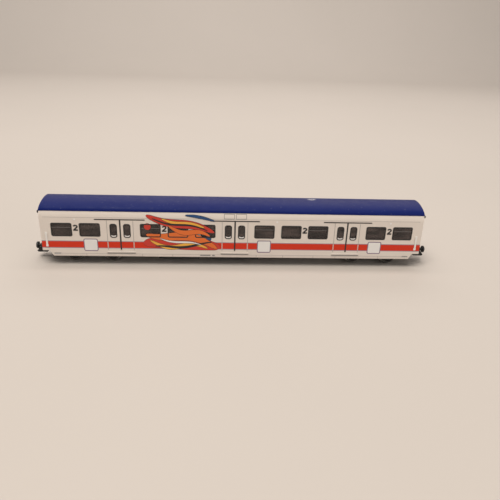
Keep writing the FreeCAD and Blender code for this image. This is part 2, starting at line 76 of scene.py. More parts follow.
def evenly(first, last, count):
    return [first + (last - first) * i / (count - 1) for i in range(count)]


window_from_door = door_half + 6.98 * MM
window_from_end = 8.49 * MM
FRONT_WINDOWS = (evenly(window_from_door, door_pitch - window_from_door, 3)
                 + evenly(door_pitch + window_from_door, half_length - window_from_end, 2))
WINDOWS = sorted([-x for x in FRONT_WINDOWS] + FRONT_WINDOWS)


# ---- node materials -------------------------------------------------------------------------
class Shader:
    """A material's node tree, with short calls for the nodes used here."""

    def __init__(self, name, colour, roughness=0.5, **sockets):
        self.material = bpy.data.materials.new(name)
        self.material.use_nodes = True
        self.tree = self.material.node_tree
        self.nodes = self.tree.nodes
        self.bsdf = self.nodes["Principled BSDF"]
        self.bsdf.inputs["Base Color"].default_value = (*colour, 1)
        self.bsdf.inputs["Roughness"].default_value = roughness
        for key, value in sockets.items():
            self.bsdf.inputs[key.replace("_", " ")].default_value = value
        self.coords = self.nodes.new("ShaderNodeTexCoord").outputs["Object"]

    def link(self, value, socket):
        if isinstance(value, (int, float)):
            socket.default_value = value
        elif isinstance(value, tuple):
            socket.default_value = (*value, 1)[:len(socket.default_value)]
        else:
            self.tree.links.new(value, socket)

    def node(self, kind, **inputs):
        made = self.nodes.new(kind)
        for key, value in inputs.items():
            self.link(value, made.inputs[key])
        return made

    def math(self, operation, a, b=0.0, c=0.0):
        made = self.nodes.new("ShaderNodeMath")
        made.operation = operation
        for socket, value in zip(made.inputs, (a, b, c)):
            self.link(value, socket)
        return made.outputs[0]

    def axis(self, name):
        if not hasattr(self, "split"):
            self.split = self.node("ShaderNodeSeparateXYZ", Vector=self.coords)
        return self.split.outputs[name]

    def stretched(self, scale):
        return self.node("ShaderNodeMapping", Vector=self.coords, Scale=scale).outputs[0]

    def noise(self, scale, detail=3.0, vector=None):
        return self.node("ShaderNodeTexNoise", Vector=vector or self.coords, Scale=scale,
                         Detail=detail).outputs["Fac"]

    def ramp(self, value, low, high, at_low=0.0, at_high=1.0):
        made = self.nodes.new("ShaderNodeMapRange")
        for key, item in (("Value", value), ("From Min", low), ("From Max", high),
                          ("To Min", at_low), ("To Max", at_high)):
            self.link(item, made.inputs[key])
        return made.outputs[0]

    def between(self, value, low, high, soft=0.015 * MM):
        """1 where value lies from low to high."""
        return self.math("MULTIPLY", self.ramp(value, low - soft, low + soft),
                         self.ramp(value, high - soft, high + soft, 1.0, 0.0))

    def mix(self, factor, a, b):
        made = self.nodes.new("ShaderNodeMix")
        made.data_type = "RGBA"
        self.link(factor, made.inputs[0])
        self.link(a, made.inputs[6])
        self.link(b, made.inputs[7])
        return made.outputs[2]

    def colour(self, value):
        self.link(value, self.bsdf.inputs["Base Color"])

    def roughness(self, value):
        self.link(value, self.bsdf.inputs["Roughness"])

    def bump(self, height, strength, distance):
        made = self.node("ShaderNodeBump", Height=height, Strength=strength, Distance=distance)
        self.tree.links.new(made.outputs[0], self.bsdf.inputs["Normal"])


WHITE = (0.70, 0.625, 0.56)
ORANGE_RED = (0.60, 0.030, 0.008)
MAUVE = (0.19, 0.13, 0.20)
BLUE = (0.0055, 0.0135, 0.115)
BLACK = (0.012, 0.012, 0.013)
DUST = (0.25, 0.21, 0.17)
GRIME = (0.20, 0.16, 0.12)


def aged(shader, base, amount=0.05):
    """The base colour, a little darker and lighter in soft cloudy patches."""
    cloud = shader.noise(90.0, 4.0)
    if isinstance(base, tuple):
        return shader.mix(cloud, base, tuple(c * (1 - amount) for c in base))
    return shader.mix(shader.ramp(cloud, 0.3, 0.8, 0.0, amount), base, DUST)


def painted_wall():
    """White plastic with the stripe and its fine edge lines printed on the outer face."""
    s = Shader("painted_side", WHITE, 0.4, Specular_IOR_Level=0.22)
    z = s.axis("Z")
    x = s.math("ABSOLUTE", s.axis("X"))
    line_width, gap_half, grime_reach = 0.28 * MM, 0.2 * MM, 1.6 * MM
    stripe = s.between(z, stripe_low, stripe_high)
    lines = s.math("MAXIMUM", s.between(z, stripe_low - line_width, stripe_low),
                   s.between(z, stripe_high, stripe_high + line_width))
    gaps = 0.0
    for edge in (door_half, door_pitch - door_half, door_pitch + door_half):
        gaps = s.math("MAXIMUM", gaps, s.between(x, edge - gap_half, edge + gap_half))
    outside = s.ramp(s.math("ABSOLUTE", s.axis("Y")), half_width - 0.25 * MM, half_width - 0.2 * MM)
    printed = s.math("MULTIPLY", s.math("MULTIPLY", stripe, outside), s.math("SUBTRACT", 1.0, gaps))
    base = s.mix(printed, WHITE, ORANGE_RED)
    base = s.mix(s.math("MULTIPLY", s.math("MULTIPLY", lines, outside), 0.85), base, MAUVE)
    grime = s.math("MULTIPLY", s.ramp(z, skirt_bottom, skirt_bottom + grime_reach, 0.22, 0.0),
                   s.noise(420.0, 4.0, s.stretched((0.35, 1.0, 1.0))))
    s.colour(aged(s, s.mix(grime, base, GRIME), 0.06))
    s.roughness(s.ramp(s.noise(700.0, 3.0), 0.3, 0.7, 0.32, 0.42))
    s.bump(s.noise(5200.0, 2.0), 0.05, 0.02 * MM)
    return s.material


def plain_plastic(name, colour, roughness=0.45, grain=4200.0, depth=0.02, amount=0.08, coat=0.0):
    s = Shader(name, colour, roughness)
    s.bsdf.inputs["Coat Weight"].default_value = coat
    s.colour(aged(s, colour, amount))
    s.roughness(s.ramp(s.noise(800.0, 3.0), 0.3, 0.7, roughness - 0.06, roughness + 0.06))
    s.bump(s.noise(grain, 2.0), 0.12, depth * MM)
    return s.material


def roof_paint():
    """Deep blue, greyer towards the ridge as a painted sheen, one pale rub mark and fine specks."""
    s = Shader("roof_blue_paint", BLUE, 0.5, Specular_IOR_Level=0.10)
    streaks = s.noise(40.0, 4.0, s.stretched((0.3, 1, 1)))
    # painted sheen: a grey tint that grows towards the ridge, streaked by noise
    ridge_sheen = s.math("MULTIPLY", s.ramp(s.axis("Z"), gutter + 1.6 * MM, roof_high.z, 0.0, 0.16),
                   s.ramp(streaks, 0.3, 0.7, 0.6, 1.0))
    rub_place = s.math("MULTIPLY", s.between(s.axis("X"), 31.2 * MM, 34.2 * MM, 0.5 * MM),
                       s.between(s.axis("Y"), -0.2 * MM, 1.9 * MM, 0.4 * MM))
    rub = s.math("MULTIPLY", rub_place, s.ramp(s.noise(1700.0, 4.0), 0.42, 0.58))
    specks = s.math("MULTIPLY", s.ramp(s.noise(2300.0, 1.0), 0.75, 0.78), 0.3)
    base = s.mix(ridge_sheen, aged(s, BLUE, 0.18), (0.16, 0.15, 0.20))
    base = s.mix(rub, base, (0.62, 0.60, 0.62))
    s.colour(s.mix(specks, base, (0.45, 0.45, 0.50)))
    s.roughness(s.ramp(s.noise(500.0, 4.0), 0.3, 0.7, 0.42, 0.56))
    s.bump(s.noise(3600.0, 2.0), 0.07, 0.02 * MM)
    return s.material


def tinted_glass():
    """Dark smoked plastic that still lets the seats show faintly."""
    s = Shader("tinted_glass", (0.028, 0.026, 0.027), 0.12)
    s.bsdf.inputs["Alpha"].default_value = 0.72
    s.bsdf.inputs["Coat Weight"].default_value = 0.3
    s.bsdf.inputs["Coat Roughness"].default_value = 0.08
    haze = s.noise(320.0, 3.0, s.stretched((0.4, 1, 1.6)))
    s.colour(s.mix(s.ramp(haze, 0.4, 0.65), (0.020, 0.014, 0.013), (0.085, 0.062, 0.056)))
    s.roughness(s.ramp(haze, 0.3, 0.7, 0.08, 0.2))
    return s.material


def wheel_metal():
    """Chemically blackened metal, rubbed bright where the tread and flange meet the rail."""
    s = Shader("wheel_metal", (0.10, 0.095, 0.09), 0.38, Metallic=0.9)
    inner_face, outer_face, worn_from, worn_full = (v * MM for v in (3.75, 5.58, 2.86, 2.93))
    tread = s.math("MULTIPLY", s.between(s.math("ABSOLUTE", s.axis("Y")), inner_face, outer_face, 0.03 * MM),
                   s.ramp(wheel_radius(s), worn_from, worn_full))
    worn = s.math("MULTIPLY", tread, s.ramp(s.noise(2600.0, 3.0), 0.25, 0.6, 0.55, 1.0))
    s.colour(s.mix(worn, aged(s, (0.075, 0.07, 0.067), 0.3), (0.30, 0.29, 0.27)))
    s.roughness(s.ramp(s.noise(1800.0, 3.0), 0.3, 0.7, 0.28, 0.5))
    s.bump(s.noise(5000.0, 2.0), 0.08, 0.02 * MM)
    return s.material


def wheel_radius(s):
    """Distance from the nearest axle's centre line, from object coordinates."""
    pivot = abs(joints["bogie_swing_front"]["pos_m"][0])
    spread = abs(joints["wheelset_outer_front_spin"]["pos_m"][0]) - pivot
    height = joints["wheelset_outer_front_spin"]["pos_m"][2]
    along = s.math("ABSOLUTE", s.math("SUBTRACT", s.math("ABSOLUTE", s.axis("X")), pivot))
    across = s.math("SUBTRACT", along, spread)
    up = s.math("SUBTRACT", s.axis("Z"), height)
    return s.math("SQRT", s.math("ADD", s.math("MULTIPLY", across, across), s.math("MULTIPLY", up, up)))


def rolled_steel():
    s = Shader("rolled_steel", (0.32, 0.31, 0.30), 0.4, Metallic=0.95)
    grain = s.noise(900.0, 3.0, s.stretched((0.04, 1.0, 1.0)))
    s.colour(s.mix(grain, (0.36, 0.35, 0.34), (0.22, 0.21, 0.20)))
    s.roughness(s.ramp(grain, 0.3, 0.7, 0.3, 0.5))
    s.bump(grain, 0.1, 0.01 * MM)
    return s.material


def lamp_lens():
    s = Shader("lamp_lens", (0.10, 0.006, 0.006), 0.18)
    s.bsdf.inputs["Coat Weight"].default_value = 0.5
    s.colour(s.mix(s.noise(900.0), (0.13, 0.008, 0.007), (0.06, 0.004, 0.004)))
    s.bump(s.node("ShaderNodeTexVoronoi", Vector=s.coords, Scale=3200.0).outputs["Distance"], 0.2, 0.02 * MM)
    return s.material


def dull_metal():
    s = Shader("dull_metal", (0.26, 0.25, 0.24), 0.42, Metallic=0.8)
    s.colour(aged(s, (0.28, 0.27, 0.26), 0.35))
    s.roughness(s.ramp(s.noise(1500.0, 3.0), 0.3, 0.7, 0.35, 0.55))
    s.bump(s.noise(5200.0, 2.0), 0.1, 0.02 * MM)
    return s.material


MATERIALS = {
    "body_white": painted_wall(),
    "end_white": plain_plastic("end_white", WHITE, 0.36, coat=0.12, amount=0.1),
    "roof_blue": roof_paint(),
    "rail_white": plain_plastic("rail_white", (0.78, 0.75, 0.71), 0.35),
    "window_glass": tinted_glass(),
    "bellows_rubber": plain_plastic("bellows_rubber", (0.020, 0.020, 0.021), 0.72, 2600.0, 0.05, 0.3),
    "lamp_red": lamp_lens(),
    "ballast_steel": rolled_steel(),
    "interior_plastic": plain_plastic("interior_plastic", (0.17, 0.15, 0.13), 0.6),
    "seat_plastic": plain_plastic("seat_plastic", (0.30, 0.24, 0.20), 0.6),
    "wheel_metal": wheel_metal(),
    "underframe_plastic": plain_plastic("underframe_plastic", BLACK, 0.55, 3000.0, 0.05, 0.3),
    "print_white": plain_plastic("print_white", (0.78, 0.755, 0.725), 0.34),
    "print_mauve": plain_plastic("print_mauve", MAUVE, 0.4),
    "print_black": plain_plastic("print_black", (0.014, 0.013, 0.014), 0.4),
    "print_grey": plain_plastic("print_grey", (0.33, 0.31, 0.29), 0.4),
    "bar_grey": plain_plastic("bar_grey", (0.13, 0.115, 0.11), 0.5),
    # grey for the painted shade strips under the steps, and for the skirt plates and door panel frames
    "step_grey": plain_plastic("step_grey", (0.27, 0.25, 0.235), 0.6),
    "print_red": plain_plastic("print_red", (0.60, 0.035, 0.018), 0.34, amount=0.25),
    "print_orange": plain_plastic("print_orange", (0.78, 0.16, 0.022), 0.34, amount=0.25),
    "print_yellow": plain_plastic("print_yellow", (0.85, 0.42, 0.05), 0.34, amount=0.2),
    "print_blue": plain_plastic("print_blue", (0.014, 0.06, 0.17), 0.34),
    "window_rubber": plain_plastic("window_rubber", (0.020, 0.018, 0.018), 0.5),
    # grey of the lines laid in the moulded grooves, as painted shade
    "groove_grey": plain_plastic("groove_grey", (0.36, 0.335, 0.31), 0.5),
    "dull_metal": dull_metal(),
}


# ---- mesh building --------------------------------------------------------------------------
def object_from(name, mesh, material, body="coach_body"):
    """Links a bmesh as a finished piece that rides on a body."""
    data = bpy.data.meshes.new(name)
    bmesh.ops.recalc_face_normals(mesh, faces=mesh.faces)
    mesh.to_mesh(data)
    mesh.free()
    made = bpy.data.objects.new(name, data)
    bpy.context.scene.collection.objects.link(made)
    data.materials.append(MATERIALS[material])
    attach(made, body)
    return made


def dark_piece(name, mesh, body="coach_body"):
    """A finished piece of the underframe's black plastic."""
    return object_from(name, mesh, "underframe_plastic", body)


def smooth(made, angle=35.0):
    for polygon in made.data.polygons:
        polygon.use_smooth = True
    made.data.set_sharp_from_angle(angle=math.radians(angle))


def rounded_outline(width, height, radius, steps=6):
    """Corner points of a rectangle with rounded corners, centred on 0, anticlockwise."""
    points = []
    for quarter, (sx, sy) in enumerate(((1, 1), (-1, 1), (-1, -1), (1, -1))):
        cx, cy = sx * (width / 2 - radius), sy * (height / 2 - radius)
        for i in range(steps + 1):
            a = math.pi / 2 * (quarter + i / steps)
            points.append((cx + radius * math.cos(a), cy + radius * math.sin(a)))
    return points


def circle_outline(radius, steps=32):
    return [(radius * math.cos(2 * math.pi * i / steps), radius * math.sin(2 * math.pi * i / steps))
            for i in range(steps)]


def dense(outline, parts=6):
    """The outline with more points along its edges, so that it follows a curved wall."""
    return [(u0 + (u1 - u0) * i / parts, v0 + (v1 - v0) * i / parts)
            for (u0, v0), (u1, v1) in zip(outline, outline[1:] + outline[:1]) for i in range(parts)]


def wall_face(z):
    """Half the body's width at height z: upright, then leaning in on an arc, then the roof."""
    if z <= lean_start:
        return half_width
    if z <= gutter:
        rise = gutter - lean_start
        radius = (rise ** 2 + lean_inset ** 2) / (2 * lean_inset)
        return half_width - radius + math.sqrt(radius ** 2 - (z - lean_start) ** 2)
    t = min(1.0, (z - gutter) / (roof_high.z - gutter))
    return roof_high.y * math.sqrt(1 - t * t)


def on_wall(side, x, z, lift):
    return Vector((x, side * (wall_face(z) + lift), z))


def add_plate(mesh, outline, place, proud, sunk=None):
    """A thin plate: outline's (u, v) points put in space by place(u, v, height), from sunk below
    the surface, by default half as much, to proud of it."""
    top = [mesh.verts.new(place(u, v, proud)) for u, v in outline]
    low = [mesh.verts.new(place(u, v, -(proud / 2 if sunk is None else sunk))) for u, v in outline]
    mesh.faces.new(top)
    mesh.faces.new(low[::-1])
    count = len(outline)
    for i in range(count):
        j = (i + 1) % count
        mesh.faces.new((top[i], low[i], low[j], top[j]))


def add_ring(mesh, outer, inner, place, thickness):
    """A flat ring between two outlines of as many points."""
    levels = [[mesh.verts.new(place(u, v, h)) for u, v in outline]
              for h in (thickness, -thickness) for outline in (outer, inner)]
    top_out, top_in, low_out, low_in = levels
    count = len(outer)
    for i in range(count):
        j = (i + 1) % count
        mesh.faces.new((top_out[i], top_out[j], top_in[j], top_in[i]))
        mesh.faces.new((low_out[j], low_out[i], low_in[i], low_in[j]))
        mesh.faces.new((top_out[j], top_out[i], low_out[i], low_out[j]))
        mesh.faces.new((top_in[i], top_in[j], low_in[j], low_in[i]))


def add_block(mesh, x, y, z, bevel=0.0):
    """A box over a pair of bounds along each axis, in either order, its edges rounded by bevel."""
    made = bmesh.ops.create_cube(mesh, size=1.0)
    low, high = (Vector([pick(pair) for pair in (x, y, z)]) for pick in (min, max))
    size, middle = high - low, (high + low) / 2
    for vert in made["verts"]:
        vert.co = Vector([a * b for a, b in zip(vert.co, size)]) + middle
    if bevel:
        edges = list(dict.fromkeys(edge for vert in made["verts"] for edge in vert.link_edges))
        bmesh.ops.bevel(mesh, geom=edges, offset=bevel, segments=2, affect="EDGES", profile=0.5)


def ring_about(mesh, centre, along, radius, sides):
    """Vertices of a circle about centre, square to the direction along."""
    turn = along.to_track_quat("Z", "Y").to_matrix()
    return [mesh.verts.new(centre + turn @ Vector((*point, 0))) for point in circle_outline(radius, sides)]


def add_rod(mesh, start, end, radius, sides=16, end_radius=None):
    """A cylinder or cone between two points."""
    start, end = Vector(start), Vector(end)
    near = ring_about(mesh, start, end - start, radius, sides)
    far = ring_about(mesh, end, end - start, radius if end_radius is None else end_radius, sides)
    mesh.faces.new(near[::-1])
    mesh.faces.new(far)
    for i in range(sides):
        j = (i + 1) % sides
        mesh.faces.new((near[i], near[j], far[j], far[i]))


def add_tube(mesh, points, radius, sides=10):
    """A round bar bent along points, with closed ends."""
    points = [Vector(p) for p in points]
    rings = []
    for i, point in enumerate(points):
        along = (points[min(i + 1, len(points) - 1)] - points[max(i - 1, 0)]).normalized()
        rings.append(ring_about(mesh, point, along, radius, sides))
    for a, b in zip(rings, rings[1:]):
        best = min(range(sides), key=lambda k: (a[0].co - b[k].co).length)
        for k in range(sides):
            j = (k + 1) % sides
            mesh.faces.new((a[k], a[j], b[(j + best) % sides], b[(k + best) % sides]))
    mesh.faces.new(rings[0][::-1])
    mesh.faces.new(rings[-1])


# ---- the CAD nodes' finishes ----------------------------------------------------------------
def finish_nodes():
    slots = {part["node"]: part["material_slot"] for part in frame["record"]["subparts"]}
    for name, made in nodes.items():
        material = slots[name]
        if name.startswith(("end_wall", "gangway_door")):
            material = "end_white"
        if name.startswith("tail_lamps"):
            material = "underframe_plastic"
        made.data.materials.clear()
        made.data.materials.append(MATERIALS[material])


# ---- detail on both side walls --------------------------------------------------------------
def wall_place(side, x, z):
    """A place function for a plate centred on (x, z) of a side wall."""
    return lambda u, v, h: on_wall(side, x + u, z + v, h)


def facing_end(x, sign, y=0.0, z=0.0):
    """A place function for a plate that faces along the coach, towards sign."""
    return lambda u, v, h: Vector((x + sign * h, y + u, z + v))


def facing_side(x, y, sign, z):
    """A place function for a plate that faces across the coach, towards sign."""
    return lambda u, v, h: Vector((x + u, y + sign * h, z + v))


def facing_down(x, y, z):
    """A place function for a plate on the underside of something."""
    return lambda u, v, h: Vector((x + u, y + v, z - h))


def door_windows():
    return [c + s * leaf_window_offset for c in DOORS for s in (-1, 1)]


def window_frames(side, name):
    """Black rubber seals round every window."""
    seals = bmesh.new()
    overlap, proud, least_radius = 0.16 * MM, 0.05 * MM, 0.2 * MM
    kinds = ((WINDOWS, side_window, 0.38 * MM), (door_windows(), leaf_window, 0.34 * MM))
    for centres, window, seal in kinds:
        outer = rounded_outline(window.width + overlap, window.height + overlap, window.radius)
        inner = rounded_outline(window.width - 2 * seal, window.height - 2 * seal,
                                max(window.radius - seal, least_radius))
        for x in centres:
            add_ring(seals, outer, inner, wall_place(side, x, window.middle), proud)
    smooth(object_from("window_seals_" + name, seals, "window_rubber"))


def window_bars(side, name):
    """The bar of each hinged top light, in every other window out from the ends."""
    bars = bmesh.new()
    sunk, thickness, side_gap, low, high = (v * MM for v in (0.11, 0.09, 0.3, 0.85, 1.05))
    reach = side_window.width / 2 - side_gap
    y = side * (half_width - sunk)
    for x in WINDOWS[:5:2] + WINDOWS[5::2]:
        add_block(bars, (x - reach, x + reach), (y, y + side * thickness),
                  (side_window.middle + low, side_window.middle + high), 0.03 * MM)
    object_from("window_bars_" + name, bars, "bar_grey")


def door_sills(side, name):
    """The pale curved sill at the foot of each door window."""
    sills = bmesh.new()
    inner = leaf_window.width - 0.5 * MM
    foot = leaf_window.middle - leaf_window.height / 2 + 0.29 * MM
    sag, depth, parts = 0.35 * MM, 0.5 * MM, 10
    arc = [(-inner / 2 + inner * i / parts, sag * (2 * i / parts - 1) ** 2) for i in range(parts + 1)]
    outline = arc + [(u, v + depth) for u, v in reversed(arc)]
    for x in door_windows():
        add_plate(sills, outline, wall_place(side, x, foot), 0.02 * MM)
    object_from("door_sills_" + name, sills, "print_white")


def door_lines(side, name):
    """Black seals between the leaves, and the runner over each door."""
    seals = bmesh.new()
    low, high = 7.1 * MM, door_top + 0.1 * MM
    leaf_seal = rounded_outline(0.6 * MM, high - low, 0.15 * MM)
    runner = rounded_outline(20.4 * MM, 0.42 * MM, 0.1 * MM)
    for x in DOORS:
        add_plate(seals, leaf_seal, wall_place(side, x, (low + high) / 2), 0.05 * MM)
        add_plate(seals, runner, wall_place(side, x, door_top + 0.3 * MM), 0.07 * MM)
    object_from("door_seals_" + name, seals, "window_rubber")


def step_treads(side, name):
    """A ribbed tread on each step, its paler white partly a painted highlight, and a grey strip below it as
    painted shade.
    """
    treads, shade_strips = bmesh.new(), bmesh.new()
    step_top, step_bottom, shade_height, shade_reach = (v * MM for v in (6.3, 5.9, 0.5, 0.2))
    reach = door_half + 0.48 * MM
    ribs, rib_half = 30, 0.1 * MM
    shade_y = (side * half_width, side * (half_width + shade_reach))
    rib_y = (side * (half_width + 0.05 * MM), side * (half_width + 0.31 * MM))
    rib_z = (step_top - 0.02 * MM, step_top + 0.05 * MM)
    for x in DOORS:
        # a grey strip under each step, as painted shade below the step's edge
        add_block(shade_strips, (x - reach, x + reach), shade_y, (step_bottom - shade_height, step_bottom),
                  0.04 * MM)
        for i in range(ribs):
            at = x - reach + 2 * reach * (i + 0.5) / ribs
            add_block(treads, (at - rib_half, at + rib_half), rib_y, rib_z)
    # the treads' paler white stands partly for a painted highlight on the step's top
    object_from("step_treads_" + name, treads, "rail_white")
    object_from("step_channels_" + name, shade_strips, "step_grey")


def groove_lines(side, name):
    """Fine grey lines, painted shade in the moulded grooves: the door edges, the cornice, the skirt line and its
    panel gaps.
    """
    lines = bmesh.new()
    fine, wide, corner, proud = (v * MM for v in (0.12, 0.16, 0.05, 0.012))
    door_middle, door_height, cornice, skirt = (v * MM for v in (13.4, 12.9, 21.05, 5.2))

    def add_line(width, height, x, z, thickness=proud, sunk=None):
        add_plate(lines, rounded_outline(width, height, corner), wall_place(side, x, z), thickness, sunk)

    for x in DOORS:
        for edge in (-door_half, door_half):
            add_line(wide, door_height, x + edge, door_middle, 0.04 * MM, 0.08 * MM)
    add_line(2 * half_length - 3 * MM, fine, 0, cornice)
    add_line(2 * half_length - 9 * MM, fine, 0, skirt)
    for x in (-61.5, -38.5, -26.0, -9.2, 9.2, 20.5, 33.5, 43.0, 61.5):
        add_line(wide, skirt - skirt_bottom - 0.1 * MM, x * MM, (skirt + skirt_bottom) / 2)
    object_from("moulded_lines_" + name, lines, "groove_grey")


def printed_squares(side, name):
    """Blank white squares with a thin mauve outline."""
    white, outline = bmesh.new(), bmesh.new()
    width, height, radius, middle, inset, line = (v * MM for v in (5.85, 5.5, 0.75, 9.13, 0.15, 0.35))

    def square(margin, corner):
        return rounded_outline(width - 2 * margin, height - 2 * margin, corner)

    for x in (WINDOWS[1], WINDOWS[5], WINDOWS[8]):
        place = wall_place(side, x * -side, middle)
        add_plate(white, square(inset, radius), place, 0.03 * MM)
        add_ring(outline, square(0.0, radius), square(line, radius - line), place, 0.035 * MM)
    object_from("sign_squares_" + name, white, "print_white")
    object_from("sign_outlines_" + name, outline, "print_mauve")


def class_numerals(side, name):
    """The class number 2 between windows: a curved stroke, and a flat foot under it."""
    digits = bmesh.new()
    size = 2.6 * MM
    half = 0.12 * size
    foot = 0.10 * size
    arc = [(0.27 * size * math.cos(a), (0.68 + 0.20 * math.sin(a)) * size)
           for a in [math.radians(170 - i * 12.5) for i in range(17)]]
    path = arc + [(-0.05 * size, 0.32 * size), (-0.24 * size, foot)]
    stroke = [beside(path, i, half) for i in range(len(path))]
    base = [[(-0.36 * size, foot - half), (-0.36 * size, foot + half)],
            [(0.37 * size, foot - half), (0.37 * size, foot + half)]]
    for post in ((WINDOWS[0] + WINDOWS[1]) / 2, (WINDOWS[2] + WINDOWS[3]) / 2,
                 (WINDOWS[6] + WINDOWS[7]) / 2, (WINDOWS[8] + WINDOWS[9]) / 2):
        place = reading_place(side, post, 15.3 * MM)
        add_film(digits, stroke, place, 0.05 * MM)
        add_film(digits, base, place, 0.058 * MM)
    object_from("class_numerals_" + name, digits, "print_black")


def beside(path, i, half):
    """The two points half a stroke to each side of a path's point i."""
    (x0, z0), (x1, z1) = path[max(i - 1, 0)], path[min(i + 1, len(path) - 1)]
    length = math.hypot(x1 - x0, z1 - z0)
    nx, nz = -(z1 - z0) / length, (x1 - x0) / length
    x, z = path[i]
    return [(x + nx * half, z + nz * half), (x - nx * half, z - nz * half)]


def reading_place(side, x, z):
    """As wall_place, but turned so that u runs left to right for someone who faces the wall."""
    return lambda u, v, h: on_wall(side, x - side * u, z + v, h)


def panels_and_lamps(side, name):
    """Two framed panels over the middle door, and small round lamps away from the pattern."""
    frames, lamps = bmesh.new(), bmesh.new()
    outer = dense(rounded_outline(4.4 * MM, 2.15 * MM, 0.15 * MM))
    inner = dense(rounded_outline(4.0 * MM, 1.75 * MM, 0.08 * MM))
    panel_z, lamp_z = 22.25 * MM, 20.2 * MM
    for x in (-2.4 * MM, 2.56 * MM):
        add_ring(frames, outer, inner, wall_place(side, x, panel_z), 0.05 * MM)
    object_from("door_panels_" + name, frames, "step_grey")
    lamp = circle_outline(0.38 * MM, 20)
    for x in (-65.2, 17.4, 65.2):
        add_plate(lamps, lamp, wall_place(side, x * -side * MM, lamp_z), 0.14 * MM)
    object_from("door_lamps_" + name, lamps, "print_white")


def skirt_plates(side, name):
    """Small dark foot plates and data panels along the skirt's lower edge, with a thin white strip at each foot as
    a painted highlight.
    """
    plates, edges = bmesh.new(), bmesh.new()
    for x, width, height, above_edge in ((-73.3, 2.7, 0.55, 0.82), (73.2, 2.4, 0.55, 0.82),
                                         (-12.3, 4.3, 0.75, 0.32), (-8.9, 1.1, 0.75, 0.32)):
        foot = skirt_bottom + above_edge * MM
        add_plate(plates, rounded_outline(width * MM, height * MM, 0.08 * MM),
                  wall_place(side, x * MM, foot + height * MM / 2), 0.03 * MM)
        # a thin white strip at each plate's foot, as a painted highlight on its lower edge
        add_plate(edges, rounded_outline(width * MM, 0.14 * MM, 0.05 * MM),
                  wall_place(side, x * MM, foot), 0.05 * MM)
    object_from("skirt_plates_" + name, plates, "step_grey")
    object_from("skirt_edges_" + name, edges, "print_white")


def side_detail():
    makers = (window_frames, window_bars, door_sills, door_lines, step_treads, groove_lines,
              printed_squares, class_numerals, panels_and_lamps, skirt_plates, printed_pattern)
    for side, name in ((1, "left"), (-1, "right")):
        for make in makers:
            make(side, name)


# ---- the printed pattern --------------------------------------------------------------------
def add_film(mesh, rows, place, height):
    """A closed film of ink over a grid of (u, v) points, its top at height."""
    top, low = [[[mesh.verts.new(place(u, v, h)) for u, v in row] for row in rows]
                for h in (height, height - ink_thickness)]
    last_row, last = len(rows) - 1, len(rows[0]) - 1
    for i in range(last_row):
        for j in range(last):
            mesh.faces.new((top[i][j], top[i + 1][j], top[i + 1][j + 1], top[i][j + 1]))
            mesh.faces.new((low[i][j + 1], low[i + 1][j + 1], low[i + 1][j], low[i][j]))
    rim = [(0, j) for j in range(last)] + [(i, last) for i in range(last_row)]
    rim += [(last_row, j) for j in range(last, 0, -1)] + [(i, 0) for i in range(last_row, 0, -1)]
    for (a, b), (c, d) in zip(rim, rim[1:] + rim[:1]):
        mesh.faces.new((top[a][b], top[c][d], low[c][d], low[a][b]))


def ribbon_rows(route, width, extra=0.0, across=8, steps=72):
    """Grid of a band along route(t), which tapers to round ends; extra widens it all round."""
    nearby, roundness = 0.004, 14.0
    rows = []
    for i in range(steps + 1):
        t = (1 - math.cos(math.pi * i / steps)) / 2
        x0, z0 = route(max(0.0, t - nearby))
        x1, z1 = route(min(1.0, t + nearby))
        length = math.hypot(x1 - x0, z1 - z0)
        nx, nz = -(z1 - z0) / length, (x1 - x0) / length
        x, z = route(t)
        end = min(1.0, roundness * min(t, 1 - t))
        half = (width(t) / 2) * math.sqrt(max(0.0, 1 - (1 - end) ** 2)) + extra
        offsets = [half * (2 * j / across - 1) for j in range(across + 1)]
        rows.append([((x + nx * offset) * MM, (z + nz * offset) * MM) for offset in offsets])
    return rows


def disc_rows(x, z, radius, steps=32, rings=5):
    """Grid of a disc, as rings of points about its middle, the first of them all but closed."""
    least_share = 0.004
    turns = [2 * math.pi * k / steps for k in range(steps + 1)]
    rows = []
    for i in range(rings + 1):
        r = radius * max(i / rings, least_share)
        rows.append([((x + r * math.cos(a)) * MM, (z + r * math.sin(a)) * MM) for a in turns])
    return rows


def wave(x0, x1, z0, z1, lift, turns, phase):
    """A route from (x0, z0) to (x1, z1) that swells up and down on the way."""
    def route(t):
        return (x0 + (x1 - x0) * t,
                z0 + (z1 - z0) * t + lift * math.sin(math.pi * (turns * t + phase)))
    return route


def swell(thin, thick):
    """A width along a band, thin at its ends and thick at its middle."""
    return lambda t: thin + (thick - thin) * math.sin(math.pi * t)


